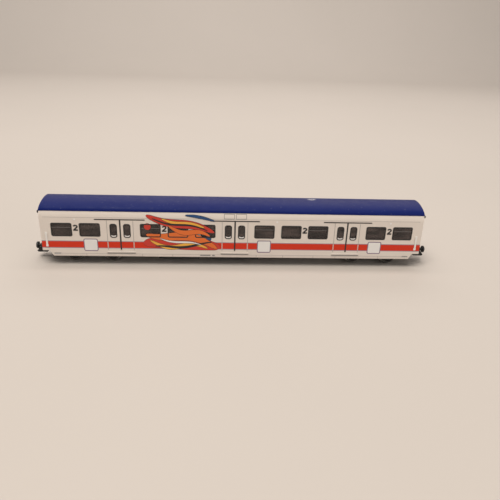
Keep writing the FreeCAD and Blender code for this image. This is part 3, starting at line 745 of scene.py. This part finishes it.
def printed_pattern(side, name):
    """An abstract print beside the middle door: discs of colour, middle and radius, then bands of
    colour, route and width, in mm, each laid over the one before."""
    films = defaultdict(bmesh.new)
    place = reading_place(side, 0.0, 0.0)
    disc_line, band_line = 0.15, 0.14
    discs = [
        ("print_grey", -16.4, 13.6, 2.2), ("print_red", -36.0, 17.4, 1.4), ("print_blue", -11.0, 12.4, 1.1),
    ]
    bands = [
        ("print_red", wave(-6.2, -37.8, 8.6, 10.2, 1.3, 1.0, 0.0), swell(2.6, 6.4)),
        ("print_orange", wave(-7.4, -36.6, 7.6, 16.4, 2.4, 1.5, 0.05), swell(1.4, 3.6)),
        ("print_yellow", wave(-11.4, -35.0, 7.6, 10.9, 1.5, 2.0, 0.1), swell(0.7, 1.9)),
        ("print_black", wave(-9.6, -33.0, 10.2, 8.2, 0.7, 2.0, 0.5), swell(0.2, 0.8)),
        ("print_white", wave(-14.0, -31.0, 8.9, 12.9, 0.9, 1.5, 0.3), swell(0.2, 0.8)),
        ("print_red", wave(-8.6, -36.4, 15.2, 22.3, 0.9, 2.0, 0.0), swell(1.2, 3.6)),
        ("print_orange", wave(-10.4, -27.4, 13.2, 17.6, 1.1, 2.0, 0.1), swell(0.7, 2.1)),
        ("print_yellow", wave(-12.6, -30.2, 17.2, 21.0, 0.6, 2.0, 0.0), swell(0.5, 1.4)),
        ("print_black", wave(-11.4, -34.0, 15.9, 21.0, 0.8, 2.0, 0.02), swell(0.15, 0.6)),
        ("print_blue", wave(-8.4, -20.4, 20.2, 22.5, 0.5, 1.0, 0.0), swell(0.4, 1.1)),
    ]

    height, disc_step, band_step = 0.016 * MM, 0.004 * MM, 0.006 * MM
    for material, x, z, radius in discs:
        add_film(films["print_black"], disc_rows(x, z, radius + disc_line), place, height)
        add_film(films[material], disc_rows(x, z, radius), place, height + disc_step)
    for material, route, width in bands:
        for ink, extra in (("print_black", band_line), (material, 0.0)):
            height += band_step
            add_film(films[ink], ribbon_rows(route, width, extra), place, height)
    for material, mesh in films.items():
        object_from(f"pattern_{material[6:]}_{name}", mesh, material, "coach_body")


# ---- detail at both ends --------------------------------------------------------------------
def end_detail(sign, name):
    """Door trim, grab rails, sockets, tail lamp lenses and gangway clamps of one end."""
    face = sign * half_length
    door_low, door_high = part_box("gangway_door_" + name)
    lamp_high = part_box("tail_lamps_" + name)[1]
    leaf = sign * max(abs(door_low.x), abs(door_high.x))
    metal, rubber, white, black, lens = (bmesh.new() for _ in range(5))

    # the gangway door: window seal, pale edge and kick plate
    door_height = door_high.z - door_low.z
    pane_z, kick_z = 15.9 * MM, door_low.z + 0.9 * MM
    add_ring(rubber, rounded_outline(3.3 * MM, 5.3 * MM, 0.8 * MM),
             rounded_outline(2.7 * MM, 4.7 * MM, 0.6 * MM), facing_end(leaf, sign, z=pane_z), 0.07 * MM)
    add_ring(white, rounded_outline(5.2 * MM, door_height - 0.5 * MM, 0.3 * MM),
             rounded_outline(4.8 * MM, door_height - 0.9 * MM, 0.2 * MM),
             facing_end(leaf, sign, z=(door_high.z + door_low.z) / 2), 0.06 * MM)
    add_plate(metal, rounded_outline(4.4 * MM, 1.1 * MM, 0.1 * MM), facing_end(leaf, sign, z=kick_z),
              0.04 * MM)

    # (distance out, height) along a door handle and along a grab rail
    handle = ((-0.02, 13.4), (0.16, 13.5), (0.2, 13.8), (0.2, 15.4), (0.16, 15.7), (-0.02, 15.8))
    rail = ((-0.05, 9.3), (0.3, 9.35), (0.42, 9.7), (0.42, 15.6), (0.3, 15.95), (-0.05, 16.0))
    socket_z, cap_out = (11.0 * MM, 12.4 * MM), 0.75 * MM
    cap_z, socket_out, socket_half = 11.7 * MM, 0.55 * MM, 0.65 * MM
    for y in (-1, 1):
        handle_y, rail_y, socket_y = y * 2.15 * MM, y * 6.3 * MM, y * 5.9 * MM
        add_tube(metal, [(leaf + sign * d * MM, handle_y, z * MM) for d, z in handle], 0.09 * MM)
        add_tube(white, [(face + sign * d * MM, rail_y, z * MM) for d, z in rail], 0.13 * MM)
        for z in (9.3, 12.6, 16.0):
            add_rod(white, (face - sign * 0.05 * MM, rail_y, z * MM),
                    (face + sign * 0.14 * MM, rail_y, z * MM), 0.26 * MM, 20)
        add_block(black, (face, face + sign * socket_out), (socket_y - socket_half, socket_y + socket_half),
                  socket_z, 0.08 * MM)
        add_rod(black, (face + sign * socket_out, socket_y, cap_z), (face + sign * cap_out, socket_y, cap_z),
                0.42 * MM, 24, 0.36 * MM)
        on_lamp = facing_end(face + sign * 0.6 * MM, sign, y * (lamp_high.y - 0.4 * MM),
                             lamp_high.z - 0.45 * MM)
        add_ring(black, circle_outline(0.36 * MM), circle_outline(0.26 * MM), on_lamp, 0.05 * MM)
        add_plate(lens, circle_outline(0.27 * MM), on_lamp, 0.04 * MM)

    # the footplate under the gangway, and the clamps of its bellows
    add_plate(metal, rounded_outline(7.4 * MM, 0.5 * MM, 0.1 * MM), facing_end(face, sign, z=8.75 * MM),
              0.3 * MM)
    clamp_reach, clamp_inner, clamp_outer, clamp_half = (v * MM for v in (1.0, 4.43, 4.62, 0.2))
    for z in (9.6, 13.0, 16.4, 19.8):
        for y in (-1, 1):
            add_block(metal, (face, face + sign * clamp_reach), (y * clamp_inner, y * clamp_outer),
                      (z * MM - clamp_half, z * MM + clamp_half), 0.03 * MM)
    object_from("end_fittings_" + name, metal, "dull_metal")
    object_from("end_window_seal_" + name, rubber, "window_rubber")
    smooth(object_from("end_handrails_" + name, white, "rail_white"))
    object_from("tail_lenses_" + name, lens, "lamp_red")
    dark_piece("end_sockets_" + name, black)


def buffer_detail(sign, name):
    """A bolted flange behind each buffer, and a raised rim on its head."""
    rims = bmesh.new()
    low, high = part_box("buffers_" + name)
    base, z = sign * half_length, (low.z + high.z) / 2
    rim_x = (high.x if sign > 0 else low.x) - sign * 0.03 * MM
    head_half, bolt_offset = 1.45 * MM, 1.125 * MM
    for y in (-1, 1):
        centre = y * (high.y - head_half)
        for k in range(4):
            a = math.pi / 4 + k * math.pi / 2
            at = (centre + bolt_offset * math.cos(a), z + bolt_offset * math.sin(a))
            add_rod(rims, (base - sign * 0.02 * MM, *at), (base + sign * 0.16 * MM, *at),
                    0.13 * MM, 10, 0.08 * MM)
        add_plate(rims, rounded_outline(2.7 * MM, 2.7 * MM, 0.4 * MM), facing_end(base, sign, centre, z),
                  0.1 * MM)
        add_ring(rims, circle_outline(1.02 * MM, 40), circle_outline(0.92 * MM, 40),
                 facing_end(rim_x, sign, centre, z), 0.03 * MM)
    dark_piece("buffer_flanges_" + name, rims)


# ---- detail below the floor -----------------------------------------------------------------
def battery_detail(ribs):
    """A lid with hinges and catches on the side of each battery box, and a plate under it."""
    low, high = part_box("battery_boxes")
    boxes, gap = 4, 0.35 * MM
    pitch = (high.x - low.x) / boxes
    lid = rounded_outline(pitch - 2 * gap, 2.9 * MM, 0.25 * MM)
    base = rounded_outline(pitch - 2 * gap, 3.6 * MM, 0.25 * MM)
    lid_z, hinge_z, catch_z, hinge_half, inset = (v * MM for v in (4.4, 5.9, 3.1, 0.3, 0.8))
    reach = pitch / 2 - gap - inset
    for y in (-1, 1):
        outer = y * high.y
        hinge_y = outer + y * 0.14 * MM
        for i in range(boxes):
            middle = low.x + pitch * (i + 0.5)
            add_plate(ribs, lid, facing_side(middle, outer, y, lid_z), 0.12 * MM)
            for x in (middle - reach, middle + reach):
                add_rod(ribs, (x - hinge_half, hinge_y, hinge_z), (x + hinge_half, hinge_y, hinge_z),
                        0.12 * MM, 12)
                add_rod(ribs, (x, outer + y * 0.05 * MM, catch_z), (x, outer + y * 0.24 * MM, catch_z),
                        0.16 * MM, 12)
            add_plate(ribs, base, facing_down(middle, y * (high.y - 2.1 * MM), low.z), 0.08 * MM)


def converter_detail(ribs):
    """Cooling fins along the converter's sides, and bolted covers under it."""
    low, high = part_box("converter_box")
    fins, fin_half, fin_reach = 22, 0.14 * MM, 0.22 * MM
    for i in range(fins):
        x = low.x + (high.x - low.x) * (i + 0.5) / fins
        for y in (-1, 1):
            edge = y * high.y
            add_block(ribs, (x - fin_half, x + fin_half), (edge, edge + y * fin_reach),
                      (low.z + 0.5 * MM, high.z - 0.6 * MM), 0.04 * MM)
    columns, rows = 3, 2
    bolt_x, bolt_y, bolt_length = 2.1 * MM, 2.4 * MM, 0.2 * MM
    cover = rounded_outline(4.9 * MM, 5.5 * MM, 0.4 * MM)
    for i in range(columns):
        for j in range(rows):
            x = low.x + (high.x - low.x) * (i + 0.5) / columns
            y = low.y + (high.y - low.y) * (j + 0.5) / rows
            add_plate(ribs, cover, facing_down(x, y, low.z), 0.1 * MM)
            for a in (-bolt_x, bolt_x):
                for b in (-bolt_y, bolt_y):
                    add_rod(ribs, (x + a, y + b, low.z), (x + a, y + b, low.z - bolt_length), 0.14 * MM, 10)


def reservoir_detail(ribs, pipes):
    """Straps, end caps and a feed pipe on each air reservoir."""
    low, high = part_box("air_reservoirs")
    radius, offset = 1.55 * MM, 3.6 * MM
    z = low.z + radius
    feed = ((0.3 * MM, z), (1.2 * MM, z), (1.7 * MM, z + 0.6 * MM), (1.8 * MM, floor_low.z + 0.9 * MM))
    for y in (-offset, offset):
        for share in (0.25, 0.75):
            x = low.x + (high.x - low.x) * share
            add_ring(ribs, circle_outline(radius + 0.12 * MM), circle_outline(radius - 0.05 * MM),
                     facing_end(x, 1, y, z), 0.35 * MM)
        for x, direction in ((low.x, -1), (high.x, 1)):
            add_rod(ribs, (x - direction * 0.1 * MM, y, z), (x + direction * 0.35 * MM, y, z), 0.3 * MM, 16)
        add_tube(pipes, [(low.x - out, y, height) for out, height in feed], 0.18 * MM)


def pipe_runs(ribs, pipes):
    """Four pipes along the floor, and the cross bars that carry them."""
    pipe_z, bar_half, bar_reach, bar_low, bar_high = (v * MM for v in (7.55, 0.25, 4.85, 7.3, 8.0))
    for y in (-4.3, -3.5, 3.5, 4.3):
        add_tube(pipes, [(x * MM, y * MM, pipe_z) for x in (-43.5, -20.0, 0.0, 20.0, 43.5)], 0.2 * MM)
    for x in evenly(-42.0 * MM, 42.0 * MM, 13):
        add_block(ribs, (x - bar_half, x + bar_half), (-bar_reach, bar_reach), (bar_low, bar_high), 0.05 * MM)


def underfloor_detail():
    ribs, pipes = bmesh.new(), bmesh.new()
    battery_detail(ribs)
    converter_detail(ribs)
    reservoir_detail(ribs, pipes)
    pipe_runs(ribs, pipes)
    dark_piece("underfloor_ribs", ribs)
    smooth(dark_piece("underfloor_pipes", pipes))


def helix(centre, radius, low, high, turns, per_turn=14):
    """Points of an upright coil."""
    count = int(turns * per_turn)
    return [(centre[0] + radius * math.cos(2 * math.pi * i / per_turn),
             centre[1] + radius * math.sin(2 * math.pi * i / per_turn),
             low + (high - low) * i / count) for i in range(count + 1)]


def axle_box_cover(mesh, x, y, face, z):
    """A round cover on one axle box, with a cap in its middle and bolts round it."""
    def boss(at, inner, outer, radius, sides, end_radius=None):
        add_rod(mesh, (at[0], y * inner, at[1]), (at[0], y * outer, at[1]), radius, sides, end_radius)

    boss((x, z), face - 0.05 * MM, face + 0.10 * MM, 0.78 * MM, 28, 0.70 * MM)
    boss((x, z), face, face + 0.14 * MM, 0.34 * MM, 20, 0.26 * MM)
    for u, v in circle_outline(0.54 * MM, 6):
        boss((x + u, z + v), face, face + 0.15 * MM, 0.09 * MM, 8)


def brake_block(mesh, x, y, direction, z):
    """One block beside a wheel's tread, and the bar that it hangs on."""
    near, far = x + direction * 3.23 * MM, x + direction * 3.78 * MM
    half_height, bar_x, bar_z = 0.9 * MM, (near + far) / 2, z + 0.55 * MM
    add_block(mesh, (near, far), (y * 4.45 * MM, y * 5.45 * MM), (z - half_height, z + half_height),
              0.12 * MM)
    add_rod(mesh, (bar_x, y * 5.4 * MM, bar_z), (bar_x, y * 5.85 * MM, bar_z), 0.18 * MM, 12)


def bogie_detail(end):
    """Axle-box covers, springs, dampers, spring beams and brake blocks on one bogie."""
    pivot = joints["bogie_swing_" + end]["pos_m"][0]
    axle_x, _, axle_z = joints[f"wheelset_outer_{end}_spin"]["pos_m"]
    spread = abs(axle_x - pivot)
    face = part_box("bogie_frame_" + end)[1].y
    covers, coils, blocks = bmesh.new(), bmesh.new(), bmesh.new()
    turns, box_spring_x, body_spring_x = 4.5, 2.1 * MM, 1.25 * MM
    damper_lean, beam_reach, beam_z = 0.1 * MM, 2.3 * MM, (2.85 * MM, 3.15 * MM)
    for y in (-1, 1):
        for a in (-1, 1):
            x = pivot + a * spread
            axle_box_cover(covers, x, y, face, axle_z)
            centre = (x - a * box_spring_x, y * (face - 0.10 * MM))
            add_tube(coils, helix(centre, 0.38 * MM, 3.35 * MM, 4.75 * MM, turns), 0.1 * MM, 8)
            for direction in (-1, 1):
                brake_block(blocks, x, y, direction, axle_z)
        for b in (-1, 1):
            centre = (pivot + b * body_spring_x, y * (face - 0.05 * MM))
            add_tube(coils, helix(centre, 0.5 * MM, 3.1 * MM, 4.9 * MM, turns), 0.12 * MM, 8)
        damper_y = y * (face + 0.1 * MM)
        add_tube(covers, [(pivot - damper_lean, damper_y, 3.2 * MM),
                          (pivot + damper_lean, damper_y, 4.8 * MM)], 0.17 * MM, 12)
        add_block(covers, (pivot - beam_reach, pivot + beam_reach), (y * face, y * (face + 0.14 * MM)),
                  beam_z, 0.05 * MM)
    dark_piece("axle_box_covers_" + end, covers, "bogie_" + end)
    smooth(dark_piece("bogie_springs_" + end, coils, "bogie_" + end))
    dark_piece("brake_blocks_" + end, blocks, "bogie_" + end)


# ---- interior behind the glass --------------------------------------------------------------
def interior_detail():
    """Grab bars on both sides of each door."""
    bars = bmesh.new()
    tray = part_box("interior_floor")[1].z
    from_door, from_middle, bar_height, bar_radius = (v * MM for v in (6.0, 2.0, 10.5, 0.13))
    for door in DOORS:
        for x in (door - from_door, door + from_door):
            for y in (-from_middle, from_middle):
                add_rod(bars, (x, y, tray), (x, y, tray + bar_height), bar_radius, 10)
    object_from("grab_bars", bars, "print_yellow")


# ---- stage, lights and camera ---------------------------------------------------------------
def make_camera():
    """Seen from the right side, a little above and left of the middle."""
    data = bpy.data.cameras.new("camera")
    data.sensor_width = 36.0
    data.lens = 37.23
    data.clip_start = 0.005
    data.clip_end = 10.0
    camera = bpy.data.objects.new("camera", data)
    bpy.context.scene.collection.objects.link(camera)
    bpy.context.scene.camera = camera
    yaw, pitch, roll = math.radians(3.55), math.radians(23.05), math.radians(2.0)
    look = Vector((math.sin(yaw) * math.cos(pitch), math.cos(yaw) * math.cos(pitch), -math.sin(pitch)))
    right = Vector((math.cos(yaw), -math.sin(yaw), 0))
    up = right.cross(look)
    turned_right = math.cos(roll) * right + math.sin(roll) * up
    turned_up = math.cos(roll) * up - math.sin(roll) * right
    camera.matrix_world = matrix_from(turned_right, turned_up, -look, Vector((-5.93, -209.3, 93.0)) * MM)


def matrix_from(x_axis, y_axis, z_axis, origin):
    """The placing of something with these axes at origin."""
    rows = [(x_axis[i], y_axis[i], z_axis[i], origin[i]) for i in range(3)] + [(0, 0, 0, 1)]
    return Matrix(rows)


def area_light(name, place, target, size, power, colour=(1, 1, 1)):
    data = bpy.data.lights.new(name, "AREA")
    data.shape = "RECTANGLE"
    data.size, data.size_y = size
    data.energy = power
    data.color = colour
    lamp = bpy.data.objects.new(name, data)
    bpy.context.scene.collection.objects.link(lamp)
    lamp.location = place
    lamp.rotation_euler = (Vector(target) - Vector(place)).to_track_quat("-Z", "Y").to_euler()


def make_stage():
    floor = bmesh.new()
    reach = 3.0
    depth = 0.9
    corner = 0.35
    profile = [(-reach, 0.0)]
    profile += [(depth + corner * math.sin(a), corner - corner * math.cos(a))
                for a in [math.pi / 2 * i / 16 for i in range(17)]]
    profile.append((depth + corner, reach))
    rows = [[floor.verts.new((x, y, z)) for y, z in profile] for x in (-reach, reach)]
    for i in range(len(profile) - 1):
        floor.faces.new((rows[0][i], rows[1][i], rows[1][i + 1], rows[0][i + 1]))
    data = bpy.data.meshes.new("stage")
    bmesh.ops.recalc_face_normals(floor, faces=floor.faces)
    floor.to_mesh(data)
    floor.free()
    made = bpy.data.objects.new("stage", data)
    bpy.context.scene.collection.objects.link(made)
    s = Shader("stage_paper", (0.53, 0.475, 0.43), 0.7)
    s.colour(s.mix(s.noise(6.0), (0.54, 0.485, 0.44), (0.51, 0.46, 0.415)))
    data.materials.append(s.material)
    for polygon in data.polygons:
        polygon.use_smooth = True


def make_lights():
    target = (0, 0, 12 * MM)
    area_light("key", (-0.2, -0.38, 1.0), target, (0.6, 0.6), 9.5, (1.0, 0.95, 0.88))
    area_light("fill", (0.7, -0.7, 0.35), target, (0.6, 0.5), 1.8, (1.0, 0.96, 0.92))
    area_light("back", (0.1, 0.8, 0.8), target, (0.9, 0.4), 2.2, (1.0, 0.97, 0.94))
    area_light("backdrop", (0, 0.25, 1.1), (0, 1.25, 0.25), (1.6, 0.4), 9.0, (1.0, 0.96, 0.92))
    world = bpy.data.worlds.new("world")
    world.use_nodes = True
    world.node_tree.nodes["Background"].inputs["Color"].default_value = (0.92, 0.90, 0.88, 1)
    world.node_tree.nodes["Background"].inputs["Strength"].default_value = 0.32
    bpy.context.scene.world = world
    bpy.context.scene.view_settings.view_transform = "Standard"


finish_nodes()
side_detail()
for end_sign, end_name in ((1, "front"), (-1, "rear")):
    end_detail(end_sign, end_name)
    buffer_detail(end_sign, end_name)
    bogie_detail(end_name)
underfloor_detail()
interior_detail()
make_camera()
make_stage()
make_lights()
